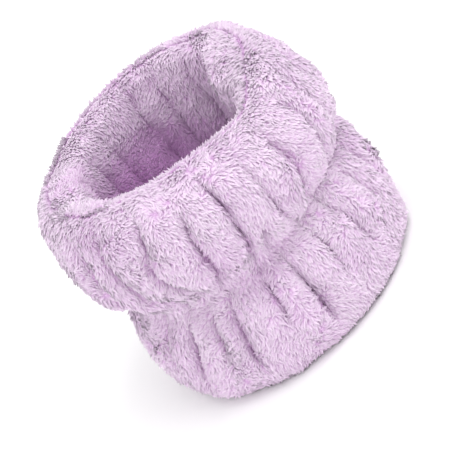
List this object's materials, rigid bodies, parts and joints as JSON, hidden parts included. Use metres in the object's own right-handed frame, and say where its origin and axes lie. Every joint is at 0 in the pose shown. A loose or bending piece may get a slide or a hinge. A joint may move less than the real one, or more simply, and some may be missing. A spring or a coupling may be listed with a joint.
{
  "type": "wrist wash band",
  "caption": "Plush doubled fleece tube worn on the wrist, gathered at its waist by an elastic into two puffy lobes around an open hole.",
  "frame": {"origin": "middle of the hem's flat face, on the tube's axis, so the band stands on z = 0", "axes": "+Z along the tube's axis from the hem to the rim; the elastic's lap is towards +X and the side seams are towards -X"},
  "size_m": [0.073, 0.073, 0.06],
  "materials": {
    "fleece": "coral fleece pile, matte with a soft sheen",
    "lining_fleece": "coral fleece pile, matte, shaded inside the tube",
    "elastic": "woven elastic, matte",
    "thread": "spun polyester sewing thread"
  },
  "bodies": {
    "root": {"outer_fleece_panel": "fleece", "lining_fleece_panel": "lining_fleece", "waist_elastic": "elastic", "elastic_lap_stitch": "thread", "upper_channel_needle_thread": "thread", "upper_channel_bobbin_thread": "thread", "lower_channel_needle_thread": "thread", "lower_channel_bobbin_thread": "thread", "rim_overedge_thread": "thread", "hem_overedge_thread": "thread", "outer_side_seam_thread": "thread", "lining_side_seam_thread": "thread"}
  },
  "joints": []
}
